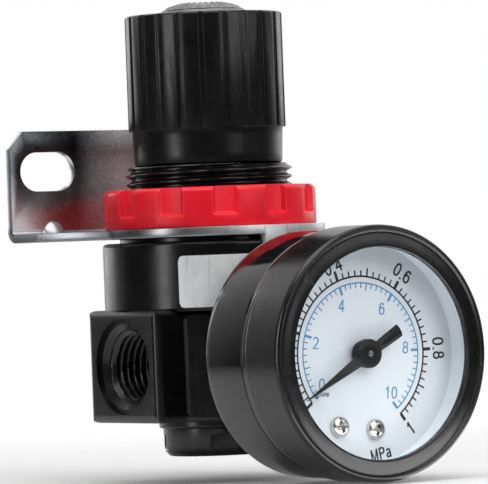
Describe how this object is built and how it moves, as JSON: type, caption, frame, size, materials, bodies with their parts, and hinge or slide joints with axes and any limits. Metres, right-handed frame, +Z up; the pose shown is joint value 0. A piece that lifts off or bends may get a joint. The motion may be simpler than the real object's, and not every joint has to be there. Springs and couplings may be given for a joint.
{
  "type": "gas pressure regulator with dial gauge",
  "caption": "Compact relieving gas pressure regulator with a push-lock knob, red panel nut, wall bracket, two side ports and a front dial gauge.",
  "frame": {"origin": "centre of the bracket's two-slot pattern, on the face that goes against the wall", "axes": "+Z up along the knob's axis, +Y into the wall, gauge faces -Y, inlet port on -X and outlet port on +X"},
  "size_m": [0.0576, 0.0733, 0.0851],
  "materials": {
    "body": "satin moulded, fine grain",
    "bonnet": "satin moulded",
    "panel_nut": "satin moulded red",
    "mounting_bracket": "bright zinc plate",
    "label_sticker": "satin silver film",
    "knob": "satin moulded, ribbed",
    "knob_cap": "satin moulded, knurled dome",
    "adjusting_screw": "turned",
    "screw_clip": "spring steel",
    "adjusting_nut": "turned",
    "main_spring": "drawn wire",
    "spring_washer": "pressed, zinc plate",
    "diaphragm": "matt",
    "diaphragm_hub": "turned",
    "diaphragm_nut": "turned",
    "valve_stem": "turned",
    "valve_seal": "matt",
    "valve_spring": "drawn wire",
    "stem_o_ring": "matt",
    "bottom_plug": "satin moulded",
    "plug_o_ring": "matt",
    "rear_port_plug": "black oxide",
    "gauge_socket": "turned and milled",
    "gauge_case": "gloss black",
    "gauge_bezel": "gloss black",
    "gauge_lens": "clear",
    "lens_gasket": "matt",
    "dial_ring": "satin white",
    "dial_plate": "satin white, printed",
    "dial_screws": "nickel plate",
    "stop_pin": "black",
    "pointer": "satin black",
    "pinion_shaft": "turned",
    "sector_gear": "stamped",
    "tip_link": "stamped",
    "bourdon_tube": "drawn bronze",
    "tube_tip": "machined",
    "movement_plates": "stamped",
    "movement_screws": "turned"
  },
  "bodies": {
    "housing": {"body": "body", "bonnet": "bonnet", "panel_nut": "panel_nut", "mounting_bracket": "mounting_bracket", "label_sticker": "label_sticker", "main_spring": "main_spring", "diaphragm": "diaphragm", "valve_spring": "valve_spring", "bottom_plug": "bottom_plug", "plug_o_ring": "plug_o_ring", "rear_port_plug": "rear_port_plug", "gauge_socket": "gauge_socket", "gauge_case": "gauge_case", "gauge_bezel": "gauge_bezel", "gauge_lens": "gauge_lens", "lens_gasket": "lens_gasket", "dial_ring": "dial_ring", "dial_plate": "dial_plate", "dial_screws": "dial_screws", "stop_pin": "stop_pin", "bourdon_tube": "bourdon_tube", "tube_tip": "tube_tip", "movement_plates": "movement_plates", "movement_screws": "movement_screws"},
    "knob": {"knob": "knob", "knob_cap": "knob_cap"},
    "screw": {"adjusting_screw": "adjusting_screw", "screw_clip": "screw_clip"},
    "nut": {"adjusting_nut": "adjusting_nut"},
    "diaphragm_group": {"diaphragm_hub": "diaphragm_hub", "spring_washer": "spring_washer", "diaphragm_nut": "diaphragm_nut"},
    "valve": {"valve_stem": "valve_stem", "valve_seal": "valve_seal", "stem_o_ring": "stem_o_ring"},
    "pointer_group": {"pointer": "pointer", "pinion_shaft": "pinion_shaft"},
    "sector": {"sector_gear": "sector_gear"},
    "link": {"tip_link": "tip_link"}
  },
  "joints": [
    {"name": "knob_turn", "type": "hinge", "parent": "housing", "child": "screw", "pos_m": [0, -0.0226, 0.0097], "axis": [0, 0, 1], "range_deg": [-1080, 0]},
    {"name": "knob_lift", "type": "slide", "parent": "screw", "child": "knob", "axis": [0, 0, 1], "range_m": [0, 0.0025]},
    {"name": "nut_travel", "type": "slide", "parent": "housing", "child": "nut", "axis": [0, 0, 1], "range_m": [-0.00375, 0], "deforming": ["main_spring"]},
    {"name": "diaphragm_travel", "type": "slide", "parent": "housing", "child": "diaphragm_group", "axis": [0, 0, 1], "range_m": [-0.001, 0], "stiffness_N_per_m": 800, "springref_m": 0.0006, "deforming": ["diaphragm"]},
    {"name": "valve_travel", "type": "slide", "parent": "housing", "child": "valve", "axis": [0, 0, 1], "range_m": [-0.001, 0], "stiffness_N_per_m": 800, "springref_m": 0.0006, "deforming": ["valve_spring"]},
    {"name": "sector_swing", "type": "hinge", "parent": "housing", "child": "sector", "pos_m": [0.00987, -0.0598, -0.03759], "axis": [0, -1, 0], "range_deg": [0, 45], "stiffness_Nm_per_rad": 0.0005, "springref_deg": -17.19},
    {"name": "pointer_turn", "type": "hinge", "parent": "housing", "child": "pointer_group", "pos_m": [0, -0.0626, -0.034], "axis": [0, -1, 0], "range_deg": [-271, 0]},
    {"name": "link_turn", "type": "hinge", "parent": "sector", "child": "link", "pos_m": [0.00902, -0.0598, -0.03962], "axis": [0, -1, 0], "range_deg": [-46, 0]}
  ],
  "couplings": [
    {"joint": "knob_turn", "follows": "nut_travel", "rad_per_m": 5026.5},
    {"joint": "valve_travel", "follows": "diaphragm_travel", "ratio": 1},
    {"joint": "pointer_turn", "follows": "sector_swing", "ratio": -6},
    {"joint": "link_turn", "follows": "sector_swing", "ratio": -1}
  ]
}
